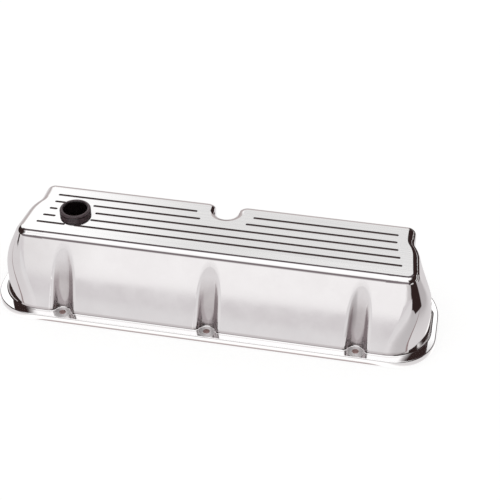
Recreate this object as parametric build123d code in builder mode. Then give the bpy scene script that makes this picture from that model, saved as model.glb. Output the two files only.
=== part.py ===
from build123d import *
import math
import os

# Cast and polished valve cover for a V8 cylinder head, millimetres.
# X runs along the cover, Y from the exhaust side to the valley side, Z up.
# The origin is the middle of the gasket face.

os.makedirs("parts", exist_ok=True)

# Flange
LENGTH = 480.0
WIDTH = 144.0
LEDGE = 6.8
FLANGE_R_EXHAUST = 46.0
FLANGE_R_VALLEY = 66.0
FLANGE_EDGE_R = 1.2
FOOT_R = 2.0

# Bolts that hold the cover to the head: distance of the bolt lines from the
# flange's long edges, of the outer exhaust side bolts from its ends, and of
# the corner bolts from its ends and its valley side
BOLT_HOLE_R = 3.6
BOLT_LINE = 9.8
EXHAUST_BOLT_END = 81.0
CORNER_BOLT_END = 21.0
CORNER_BOLT_SIDE = 35.0

# Body: height of the flat, width of the flange beside the two long walls
FLAT = 87.0
BODY_FOOT = 3.0
EXHAUST_LEDGE = 8.56
VALLEY_LEDGE = 11.5
WALL_LEAN = 0.382
CORNER_R = 10.0
RIM_R = 8.5
SKIN = 4.8
ROOF = 5.0
INNER_RIM_R = 2.5

# End walls, from the foot to the flat: height, setback of the wall from the
# flange's end, slope of the end line, front corner radius, ridge radius,
# hollow radius, depth of the hollow from the flange's end, and how far its
# middle lies from the corner bolt towards the valley side. The end line
# turns about a point this far from the exhaust side, and keeps a straight
# piece between its two radii
STATIONS = (
    (BODY_FOOT, 6.4, 0.00, 46.0, 9.0, 13.5, 30.8, -3.5),
    (FLAT - 57.0, 7.7, 0.05, 38.0, 14.0, 16.0, 32.2, -2.3),
    (FLAT - 37.0, 10.4, 0.12, 28.0, 30.0, 18.5, 33.1, -1.4),
    (FLAT - 19.0, 17.5, 0.11, 19.0, 48.0, 20.5, 33.6, -0.5),
    (FLAT, 25.4, 0.10, 12.0, 60.0, 22.5, 33.8, 0.5),
)
END_LINE = 52.0
END_STRAIGHT = 1.0

# Channels that let a socket reach the exhaust side bolts: distance of their
# axes from the bolts towards the flange's edge, lean of the straight part,
# and height and radius of the bend that leads them out of the wall
CHANNEL_R = 11.0
CHANNEL_SET = 3.1
CHANNEL_LEAN = 0.302
CHANNEL_BEND = 42.0
CHANNEL_BEND_R = 143.0
CHANNEL_BLEND = 6.5

# Notch over the middle bolt on the valley side, and the machined pocket
# in it: distance of their round ends from the flange's edge
NOTCH_R = 10.6
NOTCH_DEPTH = 25.7
NOTCH_LIP_R = 12.0
POCKET_R = 14.2
POCKET_DEPTH = 22.7

# Rubber grommet in the breather hole
BREATHER_END = 80.0
BREATHER_Y = 10.5
BREATHER_R = 15.875
GROMMET_BORE_R = 12.7
GROMMET_HEAD_R = 16.9
GROMMET_HEAD = 6.2
GROMMET_CROWN_R = 1.8
GROMMET_STEP = 2.8
GROMMET_STEP_DEPTH = 0.6
GROMMET_LIP = 5.0
GROMMET_LIP_EDGE = 1.2

# Milled grooves in the flat: margins of the first and last row from the two
# long walls, of the rows' ends from the flange's ends, and the plain rings
# around the breather and the notch where the rows stop
GROOVE_R = 1.6
GROOVE_VALLEY = 21.7
GROOVE_EXHAUST = 21.2
GROOVE_ENDS = (53.6, 53.6, 51.4, 48.0, 44.8)
BREATHER_RING_R = 23.1
NOTCH_RING_R = 33.3
NOTCH_ROWS = 2

# Oil baffle under the breather, on four posts of the casting
BAFFLE_LENGTH = 100.0
BAFFLE_WIDTH = 62.0
BAFFLE_THICK = 1.5
BAFFLE_EDGE = 9.0
BAFFLE_BEND_R = 3.0
BAFFLE_CORNER_R = 4.0
BAFFLE_GAP = 5.4
POST_R = 5.0
POST_LENGTH = 16.0
POST_INSET_X = 8.0
POST_INSET_Y = 11.0
SCREW_R = 2.0
SCREW_LENGTH = 9.0
SCREW_FIT = 0.05
SCREW_CLEARANCE = 0.3
SCREW_TIP = 1.0
SCREW_HEAD_R = 3.8
SCREW_HEAD = 2.4
SCREW_CROWN_R = 0.9
RECESS_LENGTH = 4.0
RECESS_WIDTH = 0.9
RECESS_DEPTH = 1.3

# Places that follow from these sizes
END = LENGTH / 2
SIDE = WIDTH / 2
VALLEY_WALL = SIDE - VALLEY_LEDGE
EXHAUST_BOLT_X = END - EXHAUST_BOLT_END
EXHAUST_BOLT_Y = BOLT_LINE - SIDE
CORNER_BOLT = (END - CORNER_BOLT_END, SIDE - CORNER_BOLT_SIDE)
EXHAUST_BOLTS = [(i * EXHAUST_BOLT_X, EXHAUST_BOLT_Y) for i in (-1, 0, 1)]
VALLEY_BOLTS = [(-CORNER_BOLT[0], CORNER_BOLT[1]), (0.0, SIDE - BOLT_LINE), CORNER_BOLT]
NOTCH_Y = SIDE - NOTCH_DEPTH
POCKET_Y = SIDE - POCKET_DEPTH
BREATHER = (BREATHER_END - END, BREATHER_Y)
UNDERSIDE = FLAT - ROOF
# The straight middle of the body ends between the outer channels and the
# front corners
CHANNEL_SIDE = EXHAUST_BOLT_X + CHANNEL_R + CHANNEL_BLEND
PRISM_X = (CHANNEL_SIDE + END - STATIONS[0][1] - STATIONS[0][3]) / 2
# The baffle's outer end stands clear of the wall behind the hollow
BAFFLE_START = STATIONS[-1][6] + SKIN + BAFFLE_GAP - END
BAFFLE_X = BAFFLE_START + BAFFLE_LENGTH / 2
POST_X = BAFFLE_LENGTH / 2 - POST_INSET_X
POST_Y = BAFFLE_WIDTH / 2 - POST_INSET_Y
POST_END = UNDERSIDE - POST_LENGTH
POSTS = [(BAFFLE_X + i * POST_X, BREATHER_Y + j * POST_Y) for i in (-1, 1) for j in (-1, 1)]


def exhaust_y(z):
    """Y of the leaning exhaust side wall at height z."""
    return EXHAUST_LEDGE - SIDE + WALL_LEAN * (z - LEDGE)


def arc_mid(centre, start, end, radius):
    """Middle point of the short arc from start to end."""
    v = (Vector(*start) + Vector(*end) - Vector(*centre) * 2).normalized() * radius
    return (centre[0] + v.X, centre[1] + v.Y)


def end_section(station, inset):
    """Closed outline of one end of the body, inset from the outer skin."""
    z, setback, slope, front_r, ridge_r, hollow_r, depth, shift = station
    n = math.hypot(1.0, slope)
    end_x = END - setback
    hollow_x = END - depth
    hollow_y = CORNER_BOLT[1] + shift
    front_r = front_r - inset
    ridge_r = ridge_r - inset
    centre = (hollow_x + hollow_r, hollow_y)
    hollow_r = hollow_r + inset
    hollow_x = hollow_x - inset
    corner_r = CORNER_R - inset
    back = VALLEY_WALL - inset
    front = exhaust_y(z) + inset * math.hypot(1.0, WALL_LEAN)
    end_x = end_x - inset * n

    def line_x(y):
        return end_x - slope * (y + SIDE - END_LINE)

    # Front corner
    fy = front + front_r
    fc = (line_x(fy) - front_r * n, fy)
    f1 = (fc[0], front)
    f2 = (fc[0] + front_r / n, fy + front_r * slope / n)
    # Ridge between the end line and the hollow of the corner bolt
    out = (centre[0] - line_x(centre[1])) / n
    room = (centre[1] - f2[1]) * n - out * slope - END_STRAIGHT
    widest = (room ** 2 - hollow_r ** 2 + out ** 2) / (hollow_r - out) / 2
    ridge_r = min(ridge_r, widest)
    reach = math.sqrt((hollow_r + ridge_r) ** 2 - (ridge_r + out) ** 2)
    r1 = (
        centre[0] - out / n + reach * slope / n,
        centre[1] - out * slope / n - reach / n,
    )
    rc = (r1[0] - ridge_r / n, r1[1] - ridge_r * slope / n)
    k = hollow_r / (hollow_r + ridge_r)
    r2 = (centre[0] + (rc[0] - centre[0]) * k, centre[1] + (rc[1] - centre[1]) * k)
    h = (hollow_x, hollow_y)
    # Corner between the hollow and the valley side wall
    c1 = (hollow_x, back - corner_r)
    cc = (hollow_x - corner_r, back - corner_r)
    c2 = (hollow_x - corner_r, back)
    with BuildSketch(Plane.XY.offset(z)) as section:
        with BuildLine():
            Line((PRISM_X, front), f1)
            ThreePointArc(f1, arc_mid(fc, f1, f2, front_r), f2)
            Line(f2, r1)
            ThreePointArc(r1, arc_mid(rc, r1, r2, ridge_r), r2)
            ThreePointArc(r2, arc_mid(centre, r2, h, hollow_r), h)
            Line(h, c1)
            ThreePointArc(c1, arc_mid(cc, c1, c2, corner_r), c2)
            Line(c2, (PRISM_X, back))
            Line((PRISM_X, back), (PRISM_X, front))
        make_face()
    return section.sketch


def between(lower, upper, z):
    """Station at height z on the straight line between two others."""
    k = (z - lower[0]) / (upper[0] - lower[0])
    return tuple(a + (b - a) * k for a, b in zip(lower, upper))


def middle_profile(bottom, top, inset):
    """Cross section of the body between its two ends."""
    lean = inset * math.hypot(1.0, WALL_LEAN)
    with BuildSketch(Plane.YZ) as section:
        with BuildLine():
            Polyline(
                (exhaust_y(bottom) + lean, bottom),
                (VALLEY_WALL - inset, bottom),
                (VALLEY_WALL - inset, top),
                (exhaust_y(top) + lean, top),
                close=True,
            )
        make_face()
    return section.sketch


def slot_face(radius, y, z):
    """U shaped slot around (0, y), open towards the valley side."""
    with BuildSketch(Plane.XY.offset(z)) as section:
        with BuildLine():
            ThreePointArc((-radius, y), (0, y - radius), (radius, y))
            Polyline((radius, y), (radius, WIDTH), (-radius, WIDTH), (-radius, y))
        make_face()
    return section.sketch


def channels(radius):
    """Rods along the three channels, straight up to the bend and past the rim."""
    foot = (EXHAUST_BOLT_Y - CHANNEL_SET - CHANNEL_LEAN * LEDGE, 0.0)
    bend = (foot[0] + CHANNEL_LEAN * CHANNEL_BEND, CHANNEL_BEND)
    turn = math.degrees(FLAT - CHANNEL_BEND + radius) / CHANNEL_BEND_R
    with BuildPart() as rods:
        for x, _ in EXHAUST_BOLTS:
            with BuildLine(Plane.YZ.offset(x)) as path:
                Line(foot, bend)
                JernArc(bend, (CHANNEL_LEAN, 1.0), CHANNEL_BEND_R, turn)
            with BuildSketch(path.line ^ 0):
                Circle(radius)
            sweep(path=path.line)
    return rods.part


def groove_spans(row, y):
    """X spans of one row of grooves, cut short by the plain rings."""
    end = END - GROOVE_ENDS[row]
    spans = [(-end, end)]
    rings = [(BREATHER, BREATHER_RING_R)]
    if row < NOTCH_ROWS:
        rings.append(((0.0, NOTCH_Y), NOTCH_RING_R))
    for (ring_x, ring_y), ring_r in rings:
        if abs(y - ring_y) < ring_r:
            half = math.sqrt(ring_r ** 2 - (y - ring_y) ** 2)
            left = [(a, min(b, ring_x - half)) for a, b in spans]
            right = [(max(a, ring_x + half), b) for a, b in spans]
            spans = [(a, b) for a, b in left + right if b - a > GROOVE_R]
    return spans


# Outer body: lofted ends and a straight middle
with BuildPart() as body:
    for station in STATIONS:
        add(end_section(station, 0.0))
    loft()
    mirror(about=Plane.YZ)
    extrude(middle_profile(BODY_FOOT, FLAT, 0.0), amount=PRISM_X, both=True)
    # Notch over the middle bolt
    extrude(slot_face(NOTCH_R, NOTCH_Y, 0.0), amount=2 * FLAT, mode=Mode.SUBTRACT)
    lips = body.edges().filter_by(Axis.Z).filter_by(
        lambda e: abs(abs(e.center().X) - NOTCH_R) < 0.1 and e.center().Y > VALLEY_WALL - 0.1
    )
    fillet(lips, NOTCH_LIP_R)
    # Rounded rim of the flat
    flat = body.faces().sort_by(Axis.Z)[-1]
    fillet(flat.outer_wire().edges(), RIM_R)
    # Bolt channels that fade out up the leaning wall
    before = body.edges()
    add(channels(CHANNEL_R), mode=Mode.SUBTRACT)
    lips = (body.edges() - before).filter_by(
        lambda e: (e @ 0.5).Z > LEDGE and abs((e @ 0.5).Y - exhaust_y((e @ 0.5).Z)) < 0.01
    )
    fillet(lips, CHANNEL_BLEND)

# Hollow inside, open at the gasket face
with BuildPart() as hollow_end:
    for station in STATIONS[:-1]:
        add(end_section(station, SKIN))
    add(end_section(between(STATIONS[-2], STATIONS[-1], UNDERSIDE), SKIN))
    loft()
    roof = hollow_end.faces().sort_by(Axis.Z)[-1]
    rim = roof.edges().filter_by(lambda e: e.center().X > PRISM_X + 0.1)
    fillet(rim, INNER_RIM_R)

with BuildPart() as cavity:
    extrude(middle_profile(BODY_FOOT, UNDERSIDE, SKIN), amount=PRISM_X, both=True)
    fillet(cavity.edges().filter_by(Axis.X).group_by(Axis.Z)[-1], INNER_RIM_R)
    add(hollow_end.part)
    mirror(hollow_end.part, about=Plane.YZ)
    # The skin follows the notch and the channels
    extrude(slot_face(POCKET_R + SKIN, POCKET_Y, 0.0), amount=FLAT, mode=Mode.SUBTRACT)
    add(channels(CHANNEL_R + SKIN), mode=Mode.SUBTRACT)
    # Down through the flange
    mouth = cavity.faces().sort_by(Axis.Z)[0]
    extrude(mouth, amount=LEDGE)

# The casting
with BuildPart() as valve_cover:
    with BuildSketch() as rail:
        Rectangle(LENGTH, WIDTH)
        fillet(rail.vertices().group_by(Axis.Y)[0], FLANGE_R_EXHAUST)
        fillet(rail.vertices().group_by(Axis.Y)[-1], FLANGE_R_VALLEY)
    extrude(amount=LEDGE)
    add(body.part)
    # Machined pocket for the socket on the middle bolt, down to the flange
    extrude(slot_face(POCKET_R, POCKET_Y, LEDGE), amount=FLAT, mode=Mode.SUBTRACT)
    # Foot of the walls and outer edge of the flange
    ledge = valve_cover.faces().filter_by(Axis.Z).filter_by(
        lambda f: abs(f.center().Z - LEDGE) < 0.01
    ).sort_by(SortBy.AREA)[-1]
    fillet(ledge.inner_wires()[0].edges(), FOOT_R)
    ledge = valve_cover.faces().filter_by(Axis.Z).filter_by(
        lambda f: abs(f.center().Z - LEDGE) < 0.01
    ).sort_by(SortBy.AREA)[-1]
    fillet(ledge.outer_wire().edges(), FLANGE_EDGE_R)
    # Hollow, then the posts that carry the baffle
    add(cavity.part, mode=Mode.SUBTRACT)
    with BuildSketch(Plane.XY.offset(POST_END)):
        with Locations(*POSTS):
            Circle(POST_R)
    extrude(amount=POST_LENGTH + ROOF / 2)
    with Locations(*[(x, y, POST_END) for x, y in POSTS]):
        Cylinder(
            SCREW_R + SCREW_FIT, SCREW_LENGTH + SCREW_TIP,
            align=(Align.CENTER, Align.CENTER, Align.MIN), mode=Mode.SUBTRACT,
        )
    # Bolt holes
    with Locations(*[(x, y, 0) for x, y in EXHAUST_BOLTS + VALLEY_BOLTS]):
        Cylinder(BOLT_HOLE_R, 4 * LEDGE, mode=Mode.SUBTRACT)
    # Breather hole
    with Locations((*BREATHER, FLAT)):
        Cylinder(BREATHER_R, 4 * ROOF, mode=Mode.SUBTRACT)
    # Grooves cut with a ball nosed mill
    first = VALLEY_WALL - GROOVE_VALLEY
    last = exhaust_y(FLAT) + GROOVE_EXHAUST
    for row in range(len(GROOVE_ENDS)):
        y = first + (last - first) * row / (len(GROOVE_ENDS) - 1)
        for start, end in groove_spans(row, y):
            with Locations(((start + end) / 2, y, FLAT)):
                Cylinder(GROOVE_R, end - start, rotation=(0, 90, 0), mode=Mode.SUBTRACT)
            with Locations((start, y, FLAT), (end, y, FLAT)):
                Sphere(GROOVE_R, mode=Mode.SUBTRACT)

# Rubber grommet: head on the flat, neck in the hole, lip under the roof
GROMMET_TOP = FLAT + GROMMET_HEAD
GROMMET_FOOT = UNDERSIDE - GROMMET_LIP
GROMMET_TIP_R = (GROMMET_BORE_R + BREATHER_R) / 2
GROMMET_PLANE = Plane(origin=(*BREATHER, 0), x_dir=(1, 0, 0), z_dir=(0, -1, 0))
with BuildPart() as breather_grommet:
    with BuildSketch(GROMMET_PLANE) as profile:
        with BuildLine():
            Polyline(
                (GROMMET_BORE_R, GROMMET_FOOT),
                (GROMMET_TIP_R, GROMMET_FOOT),
                (GROMMET_HEAD_R, UNDERSIDE - GROMMET_LIP_EDGE),
                (GROMMET_HEAD_R, UNDERSIDE),
                (BREATHER_R, UNDERSIDE),
                (BREATHER_R, FLAT),
                (GROMMET_HEAD_R, FLAT),
                (GROMMET_HEAD_R, FLAT + GROMMET_STEP),
                (GROMMET_HEAD_R - GROMMET_STEP_DEPTH, FLAT + GROMMET_STEP + GROMMET_STEP_DEPTH),
                (GROMMET_HEAD_R, FLAT + GROMMET_STEP + 2 * GROMMET_STEP_DEPTH),
                (GROMMET_HEAD_R, GROMMET_TOP),
                (GROMMET_BORE_R, GROMMET_TOP),
                close=True,
            )
        make_face()
        crown = profile.vertices().group_by(Axis.Y)[-1]
        fillet(crown, GROMMET_CROWN_R)
    revolve(axis=Axis((*BREATHER, 0), (0, 0, 1)))

# Pressed baffle plate with two turned up edges, open at both ends
with BuildPart() as oil_baffle:
    half = BAFFLE_WIDTH / 2
    low = POST_END - BAFFLE_THICK
    with BuildSketch(Plane.YZ.offset(BAFFLE_START)) as channel:
        with Locations((BREATHER_Y, low)):
            Rectangle(BAFFLE_WIDTH, BAFFLE_EDGE, align=(Align.CENTER, Align.MIN))
        fillet(channel.vertices().group_by(Axis.Y)[0], BAFFLE_BEND_R)
        with BuildLine():
            y0 = BREATHER_Y - half + BAFFLE_THICK
            y1 = BREATHER_Y + half - BAFFLE_THICK
            inside = Polyline(
                (y0, POST_END + BAFFLE_EDGE),
                (y0, POST_END),
                (y1, POST_END),
                (y1, POST_END + BAFFLE_EDGE),
                close=True,
            )
            bends = inside.vertices().group_by(Axis.Y)[0]
            fillet(bends, BAFFLE_BEND_R - BAFFLE_THICK)
        make_face(mode=Mode.SUBTRACT)
    extrude(amount=BAFFLE_LENGTH)
    ends = oil_baffle.edges().filter_by(Axis.Y).group_by(Axis.Z)[-1]
    corners = ends.filter_by(lambda e: e.length < 2 * BAFFLE_THICK)
    fillet(corners, BAFFLE_CORNER_R)
    with Locations(*[(x, y, POST_END) for x, y in POSTS]):
        Cylinder(SCREW_R + SCREW_CLEARANCE, 4 * BAFFLE_THICK, mode=Mode.SUBTRACT)

# The same screw four times, pan head with a cross recess
with BuildPart() as baffle_screws:
    seat = POST_END - BAFFLE_THICK
    with Locations(*[(x, y, seat) for x, y in POSTS]):
        Cylinder(SCREW_R, SCREW_LENGTH, align=(Align.CENTER, Align.CENTER, Align.MIN))
    with Locations(*[(x, y, seat) for x, y in POSTS]):
        Cylinder(SCREW_HEAD_R, SCREW_HEAD, align=(Align.CENTER, Align.CENTER, Align.MAX))
    crowns = baffle_screws.edges().filter_by(GeomType.CIRCLE).group_by(Axis.Z)[0]
    fillet(crowns, SCREW_CROWN_R)
    with Locations(*[(x, y, seat - SCREW_HEAD) for x, y in POSTS]):
        Box(RECESS_LENGTH, RECESS_WIDTH, 2 * RECESS_DEPTH, mode=Mode.SUBTRACT)
        Box(RECESS_WIDTH, RECESS_LENGTH, 2 * RECESS_DEPTH, mode=Mode.SUBTRACT)

valve_cover.part.label = "valve_cover"
breather_grommet.part.label = "breather_grommet"
oil_baffle.part.label = "oil_baffle"
baffle_screws.part.label = "baffle_screws"
export_step(valve_cover.part, "parts/valve_cover.step")
export_step(breather_grommet.part, "parts/breather_grommet.step")
export_step(oil_baffle.part, "parts/oil_baffle.step")
export_step(baffle_screws.part, "parts/baffle_screws.step")
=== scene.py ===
import math

import bpy
from mathutils import Matrix, Vector

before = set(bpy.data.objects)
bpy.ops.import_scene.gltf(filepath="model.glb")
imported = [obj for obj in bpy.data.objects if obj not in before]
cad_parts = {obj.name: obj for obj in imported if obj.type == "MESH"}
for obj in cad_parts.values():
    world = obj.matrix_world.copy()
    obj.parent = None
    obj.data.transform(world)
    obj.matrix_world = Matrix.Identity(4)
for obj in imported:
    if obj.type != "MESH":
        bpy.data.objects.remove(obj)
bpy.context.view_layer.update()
scene = bpy.context.scene

# Camera, in metres and degrees: the point it looks at, and where it stands
LOOK_AT = Vector((0.0348, 0.0, 0.07368))
AZIMUTH = 10.8
ELEVATION = 38.61
ROLL = 0.29
DISTANCE = 1.32335
LENS = 89.75
SENSOR = 36.0

# Heights of the casting, in metres, and the soft steps between its finishes
LEDGE = 0.0068
FLAT = 0.087
ON_LEDGE = (LEDGE + 0.0001, LEDGE + 0.0004)
ABOVE_LEDGE = (LEDGE + 0.0002, LEDGE + 0.0010)
FOOT_STRIP = (LEDGE + 0.0020, LEDGE + 0.0042)
UNDER_FLAT = (FLAT - 0.0003, FLAT - 0.0001)
ON_FLAT = (FLAT - 0.0006, FLAT - 0.0002)
# Upward part of the normal where a surface counts as level
LEVEL = (0.985, 0.998)
# The grooves on the flat: their outer rows, their ends and depth, and the notch beside them
GROOVE_ROWS = (-0.0136, 0.0406)
GROOVE_END = 0.1975
GROOVE_DEPTH = 0.0018
NOTCH_HALF = 0.018
NOTCH_START = 0.030
# The breather grommet: its axis, the radius of its bore and the height of the painted shade line round its
# head
BREATHER_X = -0.160
BREATHER_Y = 0.0105
BREATHER_R = 0.0127
SHADE_LINE_Z = 0.0903
# The channels: pitch, radius, lean and foot of the axis, height and radius of its bend
CHANNEL_PITCH = 0.159
CHANNEL_R = 0.011
CHANNEL_LEAN = 0.302
CHANNEL_FOOT = -0.0653 - CHANNEL_LEAN * LEDGE
CHANNEL_BEND = 0.042
CHANNEL_BEND_R = 0.143
CHANNEL_EDGE = (CHANNEL_R + 0.0002, CHANNEL_R + 0.0012)
# Heights over which a channel's painted shade and the painted shade on its sides end, and its edge blurs
CHANNEL_FADE = (0.038, 0.066)
CHANNEL_REST = 0.10
SIDE_SHADE_FADE = (0.036, 0.052)
BLUR_RISE = (0.050, 0.066)
BLUR_EDGE = (CHANNEL_R + 0.001, CHANNEL_R + 0.004)
# The lighter core between the painted shade on both sides: where it starts and is widest, and its half
# width
CORE_RISE = (0.0132, 0.0300)
CORE_HALF = 0.0058
CORE_SOFT = (-0.0010, 0.0014)
# The bolts under the channels: their line, hole radius and the soft edge of their seats
BOLT_Y = -0.0622
BOLT_HOLE_R = 0.0042
SEAT_EDGE = (0.0085, 0.0105)
# Half length of the middle line that the inside faces, and how high the inside reaches
INSIDE_HALF = 0.19
INSIDE_TOP = FLAT - 0.004
INSIDE_SOFT = (-0.002, -0.001)

# Finishes of the casting, and painted shade in its grooves, channels and at the foot of its walls; pairs
# are the darker and the lighter tone of a pattern
BRUSHED = ((0.92, 0.915, 0.915), (0.99, 0.985, 0.98))
SATIN = ((0.905, 0.888, 0.893), (0.945, 0.932, 0.935))
# Painted shade in the channels, darker than the wall
CHANNEL_PAINTED_SHADE = ((0.60, 0.565, 0.57), (0.70, 0.67, 0.67))
LEDGE_METAL = (0.98, 0.975, 0.975)
# Painted dark reflection and shade in the grooves
GROOVE_PAINTED_DARK = (0.10, 0.075, 0.075)
# Painted shade on both sides of a channel and at its foot
CHANNEL_SIDE_SHADE = (0.50, 0.455, 0.465)
# Painted shade in the crease at the foot of the walls
FOOT_PAINTED_SHADE = (0.70, 0.665, 0.67)
DRILLED = (0.86, 0.74, 0.72)
AS_CAST = (0.42, 0.41, 0.40)
SHEET_STEEL = (0.36, 0.35, 0.34)
SCREW_STEEL = (0.62, 0.61, 0.58)
# Rubber: lighter outside, painted shade in the bore and a painted shade line round the head
RUBBER = ((0.058, 0.038, 0.044), (0.090, 0.062, 0.071))
RUBBER_BORE_SHADE = (0.006, 0.003, 0.004)
RUBBER_SHADE_LINE = (0.004, 0.003, 0.003)
# Range of a noise pattern, and the roughness at both ends of it
PATTERN = (0.3, 0.7)
WALL_ROUGH = (0.03, 0.06)
FLAT_ROUGH = (0.06, 0.10)
RUBBER_ROUGH = (0.24, 0.33)
STEEL_ROUGH = (0.28, 0.45)
# Roughness that the duller places of the casting add
GROOVE_ROUGH = 0.25
CHANNEL_ROUGH = 0.12
BLUR_ROUGH = 0.12
INSIDE_ROUGH = 0.5
HOLE_ROUGH = 0.35
SEAT_ROUGH = 0.42

# The studio that the metal mirrors. Azimuths are in degrees from the photograph's side
# and grow to the right, elevations are in degrees. Pairs are soft steps.
DARK = (0.030, 0.018, 0.017)
FRONT_SKY = (
    (0, (0.94, 0.93, 0.92)), (9, (0.90, 0.89, 0.88)), (15, (0.42, 0.39, 0.40)),
    (19, (0.20, 0.17, 0.18)), (37, (0.20, 0.17, 0.18)), (43, (0.75, 0.74, 0.74)),
    (48, (1.05, 1.05, 1.05)), (90, (1.15, 1.15, 1.15)),
)
LEFT_SKY = (
    (0, (0.60, 0.57, 0.57)), (14, (0.80, 0.79, 0.78)), (18, DARK), (60, DARK),
    (65, (0.45, 0.43, 0.43)), (70, (1.1, 1.1, 1.1)), (90, (1.15, 1.15, 1.15)),
)
RIGHT_SKY = (
    (0, (0.55, 0.53, 0.53)), (12, (0.78, 0.77, 0.76)), (27, (0.78, 0.77, 0.76)), (32, DARK),
    (60, DARK), (66, (0.45, 0.43, 0.43)), (71, (1.1, 1.1, 1.1)), (90, (1.15, 1.15, 1.15)),
)
REAR_SKY = (
    (-20, (0.28, 0.24, 0.25)), (0, (0.36, 0.31, 0.32)), (25, (0.56, 0.51, 0.50)),
    (33, (1.05, 1.05, 1.05)), (42, (1.2, 1.2, 1.2)), (43.5, (0.10, 0.08, 0.085)),
    (67, (0.12, 0.10, 0.11)), (73, (1.1, 1.1, 1.1)),
)
LEFT_BEFORE = (-58, -42)
RIGHT_AFTER = (24, 34)
REAR_BEFORE = (-146, -134)
REAR_AFTER = (148, 156)
# The rear soft box fades to the right, at the height that the flat mirrors
REAR_FADE = (0.77, 0.765, 0.765)
REAR_FADE_X = (-0.32, -0.17)
REAR_FADE_UP = ((31, 33), (39.6, 40.4))
# Low wall behind the camera by azimuth: bright in the middle, greyer to both sides
LOW_WALL = (
    (-66, (0.60, 0.57, 0.57)), (-32, (0.70, 0.67, 0.68)), (-19, (0.76, 0.74, 0.74)),
    (-15.5, (0.95, 0.935, 0.935)), (5, (0.95, 0.935, 0.935)), (8, (0.82, 0.80, 0.80)),
    (14, (0.66, 0.64, 0.64)), (30, (0.57, 0.55, 0.55)),
)
LOW_WALL_HALF = 62
LOW_WALL_TOP = (7, 9)
# Dark gap to the right of the front: low at first, then up to the dark wall above it
GAP_SIDE = ((31, 37), (84, 90))
GAP_RISE = (58, 68)
GAP_TOP = (14, 34)
GAP_SOFT = (-0.06, 0.0)
# Dark cloth above the gap
CLOTH_SIDE = ((24, 28), (84, 90))
CLOTH_RISE = (33, 38)
CLOTH_BOTTOM = (12, 18)
CLOTH_SOFT = (-0.02, 0.02)
CLOTH_TOP = (34, 36)
# Dark bar beyond the right end, and dark screen behind it with a slit
BAR_SIDE = ((84, 90), (146, 150))
BAR_UP = ((10, 12), (20.5, 22.5))
SCREEN_SIDE = ((140, 145), (174, 177))
SCREEN_TOP = (43, 44)
SLIT_UP = 11
SLIT_HALF = (1.5, 3.5)
# Dark post at the left
POST_SIDE = -66
POST_HALF = (5, 8)
POST_TOP = (20, 24)

# The table as the metal mirrors it: distances in metres, azimuths and elevations as above
FAR_TABLE = (0.68, 0.655, 0.665)
MID_TABLE = (0.75, 0.735, 0.74)
NEAR_TABLE = (0.78, 0.76, 0.765)
LEFT_TABLE = (0.70, 0.675, 0.68)
RIGHT_TABLE = (0.48, 0.455, 0.46)
CORNER_TABLE = (0.54, 0.52, 0.525)
SEAM = (0.30, 0.23, 0.23)
TABLE_EDGE_UP = (0.20, 0.46)
# Distances from the part's long axis where the table changes its tone
TABLE_FAR = (0.9, 4.0)
TABLE_NEAR = (0.28, 0.60)
# Beside the ends: how far out the grey begins, and how that grows away from the axis
FLANK = (0.05, 0.20)
FLANK_SLOPE = -0.9
RIGHT_FLANK = (0.25, 0.40)
# Points near both ends, around which the table's dark parts are laid out
END_X = 0.21
END_Y = -0.04
TABLE_GAP_SIDE = ((37, 40), (84, 90))
TABLE_GAP_TURN = (40, 55)
TABLE_GAP_START = (0.48, 0.22)
TABLE_GAP_SOFT = (-0.01, 0.02)
TABLE_POST_X = (-0.95, -0.75)
# Seams in the paper that run out from both ends: where they start to show, a point on
# them, then slope and outer half width, each as a middle value and what the right adds
SEAM_X = 0.236
SEAM_FROM = (0.26, -0.081)
SEAM_SLOPE = (0.065, -0.175)
SEAM_INNER = 0.0018
SEAM_OUTER = (0.0055, -0.001)
CORNER_REACH = -0.30
CORNER_X = (0.215, 0.245)
# Behind the right end the table ends at a dark screen
TABLE_REAR_X = (0.22, 0.26)
TABLE_REAR_Y = (0.24, 0.30)
# The part's outline on the table: a line this long and wide, and distances around it
FOOTPRINT = (0.170, 0.002)
# Painted glow of the table near the part, as the metal mirrors it, and where it ends
PAINTED_GLOW = (1.08, 1.06, 1.05)
PAINTED_GLOW_END = (0.078, 0.082)
# Painted contact shadow along the part's edge, as the metal mirrors the table, and where it ends
CONTACT_SHADOW_LINE = (0.42, 0.35, 0.35)
CONTACT_SHADOW_END = (0.0712, 0.0732)
SHADOW_END = (0.0655, 0.0685)
# The table's own white to the camera, and what the shadow under the part takes off
TABLE_WHITE = 0.72
TABLE_SHADOW = -0.55


def rad(*degrees):
    return tuple(math.radians(d) for d in degrees)


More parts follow.
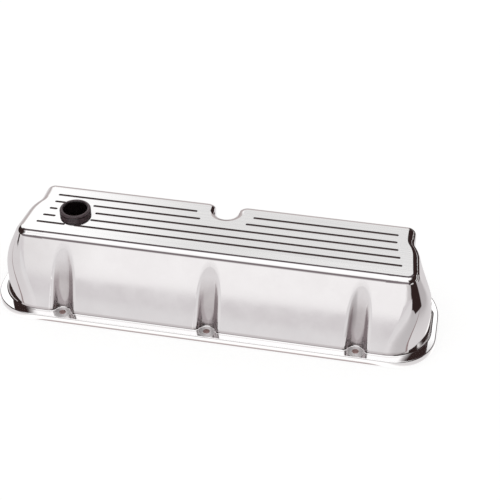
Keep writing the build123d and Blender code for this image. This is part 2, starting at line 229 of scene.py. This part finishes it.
class Nodes:
    """Short calls that build a node tree."""

    def __init__(self, tree):
        self.tree = tree
        tree.nodes.clear()

    def new(self, kind, inputs=None, **settings):
        node = self.tree.nodes.new(kind)
        for name, value in settings.items():
            setattr(node, name, value)
        for key, value in (inputs or {}).items():
            self.put(node.inputs[key], value)
        return node

    def put(self, socket, value):
        if isinstance(value, bpy.types.Node):
            value = value.outputs[0]
        if isinstance(value, bpy.types.NodeSocket):
            self.tree.links.new(value, socket)
        elif isinstance(value, (tuple, list)) and len(value) == 3 and socket.type == "RGBA":
            socket.default_value = (*value, 1.0)
        else:
            socket.default_value = value

    def math(self, operation, *values):
        return self.new("ShaderNodeMath", dict(enumerate(values)), operation=operation)

    def add(self, a, b):
        return self.math("ADD", a, b)

    def minus(self, a, b):
        return self.math("SUBTRACT", a, b)

    def product(self, first, *others):
        for value in others:
            first = self.math("MULTIPLY", first, value)
        return first

    def most(self, first, *others):
        for value in others:
            first = self.math("MAXIMUM", first, value)
        return first

    def size(self, value):
        return self.math("ABSOLUTE", value)

    def length(self, a, b):
        """Length of the vector with these two parts."""
        return self.math("SQRT", self.add(self.product(a, a), self.product(b, b)))

    def parts(self, vector):
        """The three parts of a vector."""
        return self.new("ShaderNodeSeparateXYZ", {0: vector}).outputs

    def smooth(self, value, low, high, start=0.0, end=1.0):
        """start below low, end above high and a soft step between."""
        return self.new(
            "ShaderNodeMapRange",
            {"Value": value, "From Min": low, "From Max": high, "To Min": start, "To Max": end},
            interpolation_type="SMOOTHSTEP",
        )

    def below(self, value, low, high):
        """1 below low, 0 above high and a soft step between."""
        return self.smooth(value, low, high, 1.0, 0.0)

    def between(self, value, rise, fall):
        """1 between two soft steps and 0 outside them."""
        return self.product(self.smooth(value, *rise), self.below(value, *fall))

    def linear(self, value, low, high, start=0.0, end=1.0):
        """start below low, end above high and a straight line between."""
        return self.new(
            "ShaderNodeMapRange",
            {"Value": value, "From Min": low, "From Max": high, "To Min": start, "To Max": end},
        )

    def mix(self, factor, a, b):
        node = self.new("ShaderNodeMix", data_type="RGBA")
        self.put(node.inputs[0], factor)
        self.put(node.inputs[6], a)
        self.put(node.inputs[7], b)
        return node.outputs[2]

    def shade(self, factor, a, b):
        return self.new("ShaderNodeMixShader", {0: factor, 1: a, 2: b})

    def ramp(self, value, stops):
        node = self.new("ShaderNodeValToRGB", {0: value})
        ramp = node.color_ramp
        ramp.interpolation = "LINEAR"
        while len(ramp.elements) < len(stops):
            ramp.elements.new(0.5)
        for element, (place, colour) in zip(ramp.elements, stops):
            element.position = place
            element.color = (*colour, 1.0)
        return node.outputs[0]

    def noise(self, vector, scale, detail, rough):
        inputs = {"Vector": vector, "Scale": scale, "Detail": detail, "Roughness": rough}
        return self.new("ShaderNodeTexNoise", inputs)

    def stretched(self, vector, along, across):
        """The vector scaled for marks that run along the part."""
        return self.new("ShaderNodeMapping", {"Vector": vector, "Scale": (along, across, across)})

    def bump(self, height, strength):
        return self.new("ShaderNodeBump", {"Strength": strength, "Distance": 0.0001, "Height": height})


def new_material(name):
    material = bpy.data.materials.new(name)
    material.use_nodes = True
    return material, Nodes(material.node_tree)


def place_camera():
    """Camera at the photograph's viewing angle."""
    data = bpy.data.cameras.new("camera")
    data.lens = LENS
    data.sensor_width = SENSOR
    data.clip_start = 0.01
    camera = bpy.data.objects.new("camera", data)
    scene.collection.objects.link(camera)
    az, el = rad(AZIMUTH, ELEVATION)
    away = Vector((math.sin(az) * math.cos(el), -math.cos(az) * math.cos(el), math.sin(el)))
    turn = (-away).to_track_quat("-Z", "Y").to_matrix().to_4x4()
    roll = Matrix.Rotation(math.radians(ROLL), 4, "Z")
    camera.matrix_world = Matrix.Translation(LOOK_AT + away * DISTANCE) @ turn @ roll
    scene.camera = camera


def sky_ramp(n, up, stops):
    """Colours of a wall by elevation."""
    height = n.math("MULTIPLY_ADD", up, 1.0 / math.pi, 0.5)
    return n.ramp(height, [(0.5 + e / 180.0, c) for e, c in stops])


def dark_parts(n, side, up):
    """Mask of the dark parts in the studio's walls."""
    top = n.smooth(side, *rad(*GAP_RISE), *rad(*GAP_TOP))
    gap = n.between(side, rad(*GAP_SIDE[0]), rad(*GAP_SIDE[1]))
    gap = n.product(gap, n.below(n.minus(up, top), *GAP_SOFT))
    bottom = n.smooth(side, *rad(*CLOTH_RISE), *rad(*CLOTH_BOTTOM))
    cloth = n.between(side, rad(*CLOTH_SIDE[0]), rad(*CLOTH_SIDE[1]))
    cloth = n.product(cloth, n.smooth(n.minus(up, bottom), *CLOTH_SOFT))
    cloth = n.product(cloth, n.below(up, *rad(*CLOTH_TOP)))
    bar = n.between(side, rad(*BAR_SIDE[0]), rad(*BAR_SIDE[1]))
    bar = n.product(bar, n.between(up, rad(*BAR_UP[0]), rad(*BAR_UP[1])))
    screen = n.between(side, rad(*SCREEN_SIDE[0]), rad(*SCREEN_SIDE[1]))
    screen = n.product(screen, n.below(up, *rad(*SCREEN_TOP)))
    slit = n.smooth(n.size(n.minus(up, math.radians(SLIT_UP))), *rad(*SLIT_HALF))
    post = n.below(n.size(n.minus(side, math.radians(POST_SIDE))), *rad(*POST_HALF))
    post = n.product(post, n.below(up, *rad(*POST_TOP)))
    return n.most(gap, cloth, bar, n.product(screen, slit), post)


def make_world():
    """White studio: what the camera sees is plain white, and polished metal mirrors a
    soft box overhead, pale walls and the darker gaps between them."""
    world = bpy.data.worlds.new("studio")
    scene.world = world
    world.use_nodes = True
    n = Nodes(world.node_tree)
    x, y, z = n.parts(n.new("ShaderNodeTexCoord").outputs["Generated"])
    up = n.math("ARCSINE", z)
    side = n.math("ARCTAN2", x, n.product(y, -1.0))
    behind = n.most(n.below(side, *rad(*REAR_BEFORE)), n.smooth(side, *rad(*REAR_AFTER)))
    sky = n.mix(n.below(side, *rad(*LEFT_BEFORE)), sky_ramp(n, up, FRONT_SKY), sky_ramp(n, up, LEFT_SKY))
    sky = n.mix(n.smooth(side, *rad(*RIGHT_AFTER)), sky, sky_ramp(n, up, RIGHT_SKY))
    sky = n.mix(behind, sky, sky_ramp(n, up, REAR_SKY))
    fade = n.between(up, rad(*REAR_FADE_UP[0]), rad(*REAR_FADE_UP[1]))
    fade = n.product(fade, behind, n.smooth(x, *REAR_FADE_X))
    sky = n.mix(fade, sky, REAR_FADE)
    turn = n.math("MULTIPLY_ADD", side, 0.5 / math.pi, 0.5)
    low_wall = n.ramp(turn, [(0.5 + a / 360.0, c) for a, c in LOW_WALL])
    ahead = n.product(n.below(up, *rad(*LOW_WALL_TOP)),
                      n.math("LESS_THAN", n.size(side), math.radians(LOW_WALL_HALF)))
    sky = n.mix(ahead, sky, low_wall)
    # Far edge of the table, a little above the horizon
    sky = n.mix(n.smooth(up, *rad(*TABLE_EDGE_UP)), FAR_TABLE, sky)
    sky = n.mix(dark_parts(n, side, up), sky, DARK)
    path = n.new("ShaderNodeLightPath")
    mirror = n.new("ShaderNodeBackground", {"Color": sky, "Strength": 1.0})
    soft = n.new("ShaderNodeBackground", {"Color": (1.0, 0.99, 0.98), "Strength": 0.75})
    white = n.new("ShaderNodeBackground", {"Color": (1.0, 1.0, 1.0), "Strength": 1.0})
    lit = n.shade(path.outputs["Is Glossy Ray"], soft, mirror)
    out = n.shade(path.outputs["Is Camera Ray"], lit, white)
    n.new("ShaderNodeOutputWorld", {"Surface": out})


def table_dark(n, x, y):
    """Mask of the dark parts of the table: a gap on the right, a post on the left and
    the screen behind the right end."""
    ahead = n.product(n.minus(y, END_Y), -1.0)
    right_x = n.minus(x, END_X)
    side = n.math("ARCTAN2", right_x, ahead)
    edge = n.linear(side, *rad(*TABLE_GAP_TURN), *TABLE_GAP_START)
    gap = n.between(side, rad(*TABLE_GAP_SIDE[0]), rad(*TABLE_GAP_SIDE[1]))
    gap = n.product(gap, n.smooth(n.minus(n.length(right_x, ahead), edge), *TABLE_GAP_SOFT))
    left_side = n.math("ARCTAN2", n.add(x, END_X), ahead)
    post = n.below(n.size(n.minus(left_side, math.radians(POST_SIDE))), *rad(*POST_HALF))
    post = n.product(post, n.below(x, *TABLE_POST_X))
    rear = n.product(n.smooth(y, *TABLE_REAR_Y), n.smooth(x, *TABLE_REAR_X))
    return n.most(gap, post, rear)


def make_floor():
    """White table: the camera sees white with the part's soft shadow, and polished metal
    mirrors it a little darker, with dark parts beyond it."""
    bpy.ops.mesh.primitive_circle_add(vertices=64, radius=12.0, fill_type="NGON", location=(0, 0, -0.0002))
    floor = bpy.context.object
    floor.name = "floor"
    material, n = new_material("table")
    floor.data.materials.append(material)
    x, y, _ = n.parts(n.new("ShaderNodeNewGeometry").outputs["Position"])
    out_x = n.size(x)
    out_y = n.size(y)
    paper = n.mix(n.smooth(out_y, *TABLE_FAR), MID_TABLE, FAR_TABLE)
    paper = n.mix(n.below(out_y, *TABLE_NEAR), paper, NEAR_TABLE)
    # Beside both ends the table is greyer
    flank = n.smooth(n.math("MULTIPLY_ADD", out_y, FLANK_SLOPE, out_x), *FLANK)
    paper = n.mix(flank, paper, n.mix(n.smooth(x, *RIGHT_FLANK), LEFT_TABLE, RIGHT_TABLE))
    # Distance behind the seams, and the grey that ends at the right one
    hand = n.math("SIGN", x)
    slope = n.math("MULTIPLY_ADD", hand, SEAM_SLOPE[1], SEAM_SLOPE[0])
    seam_y = n.math("MULTIPLY_ADD", n.minus(out_x, SEAM_FROM[0]), slope, SEAM_FROM[1])
    past = n.minus(y, seam_y)
    corner = n.product(n.smooth(past, CORNER_REACH, 0.0), n.math("LESS_THAN", past, 0.0))
    paper = n.mix(n.product(corner, n.smooth(x, *CORNER_X)), paper, CORNER_TABLE)
    seam_width = n.math("MULTIPLY_ADD", hand, SEAM_OUTER[1], SEAM_OUTER[0])
    seam = n.below(n.size(past), SEAM_INNER, seam_width)
    seam = n.product(seam, n.math("GREATER_THAN", out_x, SEAM_X))
    # Around the part's outline
    over_x = n.most(n.minus(out_x, FOOTPRINT[0]), 0.0)
    over_y = n.most(n.minus(out_y, FOOTPRINT[1]), 0.0)
    over = n.length(over_x, over_y)
    # Painted glow on the mirrored table near the part
    paper = n.mix(n.smooth(over, *PAINTED_GLOW_END), PAINTED_GLOW, paper)
    # Painted contact shadow on the mirrored table right at the part's edge
    paper = n.mix(n.below(over, *CONTACT_SHADOW_END), paper, CONTACT_SHADOW_LINE)
    paper = n.mix(seam, paper, SEAM)
    paper = n.mix(table_dark(n, x, y), paper, DARK)
    path = n.new("ShaderNodeLightPath")
    # Under the part the table is in shadow
    under = n.below(over, *SHADOW_END)
    white = n.math("MULTIPLY_ADD", under, TABLE_SHADOW, TABLE_WHITE)
    seen = n.new("ShaderNodeAddShader", {
        0: n.new("ShaderNodeEmission", {"Color": (1, 1, 1), "Strength": white}),
        1: n.new("ShaderNodeBsdfDiffuse", {"Color": (0.42, 0.42, 0.42)}),
    })
    mirror = n.new("ShaderNodeEmission", {"Color": paper, "Strength": 1.0})
    plain = n.new("ShaderNodeBsdfDiffuse", {"Color": (0.8, 0.8, 0.8)})
    soft = n.shade(path.outputs["Is Glossy Ray"], plain, mirror)
    out = n.shade(path.outputs["Is Camera Ray"], soft, seen)
    n.new("ShaderNodeOutputMaterial", {"Surface": out})


def groove_mask(n, x, y, z):
    """The grooves: just under the flat, between the first and the last row, and not in
    the notch or the breather hole."""
    mask = n.below(z, *UNDER_FLAT)
    mask = n.product(mask, n.math("GREATER_THAN", z, FLAT - GROOVE_DEPTH))
    mask = n.product(mask, n.math("GREATER_THAN", y, GROOVE_ROWS[0]))
    mask = n.product(mask, n.math("LESS_THAN", y, GROOVE_ROWS[1]))
    mask = n.product(mask, n.math("LESS_THAN", n.size(x), GROOVE_END))
    beside = n.math("GREATER_THAN", n.size(x), NOTCH_HALF)
    before = n.math("LESS_THAN", y, NOTCH_START)
    return n.product(mask, n.most(beside, before))


def channel_reach(n, along, y, z):
    """Distance from the nearest channel's axis: a leaning line, then an arc."""
    lean = math.hypot(1.0, CHANNEL_LEAN)
    low = n.math("MULTIPLY_ADD", z, -CHANNEL_LEAN, n.minus(y, CHANNEL_FOOT))
    low = n.math("DIVIDE", low, lean)
    centre_y = CHANNEL_FOOT + CHANNEL_LEAN * CHANNEL_BEND - CHANNEL_BEND_R / lean
    centre_z = CHANNEL_BEND + CHANNEL_BEND_R * CHANNEL_LEAN / lean
    high = n.minus(n.length(n.minus(y, centre_y), n.minus(z, centre_z)), CHANNEL_BEND_R)
    upper = n.math("GREATER_THAN", z, CHANNEL_BEND)
    across = n.add(n.product(high, upper), n.product(low, n.minus(1.0, upper)))
    return n.length(along, across)


def inside_mask(n, x, y, z, normal):
    """The inside: where the surface faces the middle line, below the flat."""
    nearest = n.math("MINIMUM", n.math("MAXIMUM", x, -INSIDE_HALF), INSIDE_HALF)
    facing = n.product(normal[0], n.minus(x, nearest))
    facing = n.math("MULTIPLY_ADD", normal[1], y, facing)
    facing = n.math("MULTIPLY_ADD", normal[2], z, facing)
    return n.product(n.below(facing, *INSIDE_SOFT), n.math("LESS_THAN", z, INSIDE_TOP))


def casting():
    """Cast aluminium: brushed flat, satin walls, polished rim and ledge, plain inside."""
    material, n = new_material("polished_casting")
    geometry = n.new("ShaderNodeNewGeometry").outputs
    place = geometry["Position"]
    normal = n.parts(geometry["Normal"])
    x, y, z = n.parts(place)
    lines = n.noise(n.stretched(place, 5.0, 620.0), 1.0, 4.0, 0.6)
    cloud = n.noise(place, 38.0, 4.0, 0.55)
    grain = n.noise(place, 900.0, 2.0, 0.5)
    # The flat is near the top and level
    flat = n.product(n.smooth(normal[2], *LEVEL), n.smooth(z, *ON_FLAT))
    ledge = n.below(z, *ON_LEDGE)
    groove = groove_mask(n, x, y, z)
    brushed = n.mix(n.smooth(lines, *PATTERN), *BRUSHED)
    satin = n.mix(n.smooth(cloud, *PATTERN), *SATIN)
    satin = n.mix(ledge, satin, LEDGE_METAL)
    colour = n.mix(flat, satin, brushed)
    # The grooves are coloured dark: painted dark reflection and shade
    colour = n.mix(groove, colour, GROOVE_PAINTED_DARK)
    # The channels are rougher than the wall, as no polishing wheel reaches into them, and darker in
    # colour, most towards the bottom: painted shade in the recess
    along = n.math("WRAP", x, CHANNEL_PITCH / 2, -CHANNEL_PITCH / 2)
    reach = channel_reach(n, along, y, z)
    channel = n.product(n.below(reach, *CHANNEL_EDGE), n.smooth(z, *ABOVE_LEDGE))
    channel = n.product(channel, n.smooth(z, *CHANNEL_FADE, 1.0, CHANNEL_REST))
    colour = n.mix(channel, colour, n.mix(n.smooth(cloud, 0.35, 0.70), *CHANNEL_PAINTED_SHADE))
    # Both sides of a channel and its narrow foot get painted shade, darker than the rest of the channel:
    # the lighter core between them starts above the foot and widens upwards
    core = n.product(n.math("SQRT", n.linear(z, *CORE_RISE)), CORE_HALF)
    side_shade = n.smooth(n.minus(n.size(along), core), *CORE_SOFT)
    side_shade = n.product(side_shade, n.below(z, *SIDE_SHADE_FADE), channel)
    colour = n.mix(side_shade, colour, CHANNEL_SIDE_SHADE)
    # At the foot of the walls a dull strip is left
    # A darker strip along the foot of the walls: painted shade in the crease above the ledge
    foot = n.between(z, ABOVE_LEDGE, FOOT_STRIP)
    colour = n.mix(n.product(foot, n.minus(1.0, channel)), colour, FOOT_PAINTED_SHADE)
    # The bolt holes are drilled, not polished
    bolt = n.length(along, n.minus(y, BOLT_Y))
    hole = n.product(n.math("LESS_THAN", bolt, BOLT_HOLE_R), n.math("LESS_THAN", z, LEDGE - 0.0003))
    colour = n.mix(hole, colour, DRILLED)
    inside = inside_mask(n, x, y, z, normal)
    colour = n.mix(inside, colour, AS_CAST)
    # Around a channel's top the wheel blurs the edge, and the bolts' seats are faced
    blur = n.product(n.below(reach, *BLUR_EDGE), n.smooth(z, *BLUR_RISE))
    seat = n.product(n.below(bolt, *SEAT_EDGE), ledge)
    rough = n.mix(flat, n.linear(cloud, *PATTERN, *WALL_ROUGH), n.linear(lines, *PATTERN, *FLAT_ROUGH))
    rough = n.math("MULTIPLY_ADD", groove, GROOVE_ROUGH, rough)
    rough = n.math("MULTIPLY_ADD", channel, CHANNEL_ROUGH, rough)
    rough = n.math("MULTIPLY_ADD", inside, INSIDE_ROUGH, rough)
    rough = n.math("MULTIPLY_ADD", hole, HOLE_ROUGH, rough)
    rough = n.math("MULTIPLY_ADD", blur, BLUR_ROUGH, rough)
    rough = n.math("MULTIPLY_ADD", seat, SEAT_ROUGH, rough)
    shader = n.new("ShaderNodeBsdfPrincipled", {
        "Base Color": colour,
        "Metallic": 1.0,
        "Roughness": rough,
        "Normal": n.mix(flat, n.bump(grain, 0.02), n.bump(lines, 0.05)),
    })
    n.new("ShaderNodeOutputMaterial", {"Surface": shader})
    return material


def rubber():
    """Black rubber with a dull sheen and fine pores."""
    material, n = new_material("black_rubber")
    place = n.new("ShaderNodeNewGeometry").outputs["Position"]
    x, y, z = n.parts(place)
    pores = n.noise(place, 1400.0, 3.0, 0.6)
    bloom = n.noise(place, 90.0, 4.0, 0.6)
    colour = n.mix(n.smooth(bloom, 0.35, 0.75), *RUBBER)
    # Painted shade inside the bore
    bore = n.length(n.minus(x, BREATHER_X), n.minus(y, BREATHER_Y))
    colour = n.mix(n.smooth(bore, BREATHER_R + 0.0003, BREATHER_R + 0.0014), RUBBER_BORE_SHADE, colour)
    # Painted shade line round the head, under its lip
    shade_line = n.size(n.minus(z, SHADE_LINE_Z))
    colour = n.mix(n.smooth(shade_line, 0.0003, 0.0008, 0.75, 0.0), colour, RUBBER_SHADE_LINE)
    shader = n.new("ShaderNodeBsdfPrincipled", {
        "Base Color": colour,
        "Roughness": n.linear(bloom, *PATTERN, *RUBBER_ROUGH),
        "Specular IOR Level": 0.8,
        "Normal": n.bump(pores, 0.08),
    })
    n.new("ShaderNodeOutputMaterial", {"Surface": shader})
    return material


def steel(name, tint):
    """Plain steel sheet or screws with faint rolling marks."""
    material, n = new_material(name)
    place = n.new("ShaderNodeNewGeometry").outputs["Position"]
    lines = n.noise(n.stretched(place, 40.0, 1500.0), 1.0, 3.0, 0.5)
    spots = n.noise(place, 120.0, 4.0, 0.6)
    shader = n.new("ShaderNodeBsdfPrincipled", {
        "Base Color": n.mix(spots, tuple(0.8 * c for c in tint), tint),
        "Metallic": 1.0,
        "Roughness": n.linear(lines, *PATTERN, *STEEL_ROUGH),
    })
    n.new("ShaderNodeOutputMaterial", {"Surface": shader})
    return material


def dress(node, material):
    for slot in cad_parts[node].material_slots:
        slot.material = material


place_camera()
make_world()
make_floor()
dress("valve_cover", casting())
dress("breather_grommet", rubber())
dress("oil_baffle", steel("sheet_steel", SHEET_STEEL))
dress("baffle_screws", steel("screw_steel", SCREW_STEEL))

scene.view_settings.view_transform = "Standard"
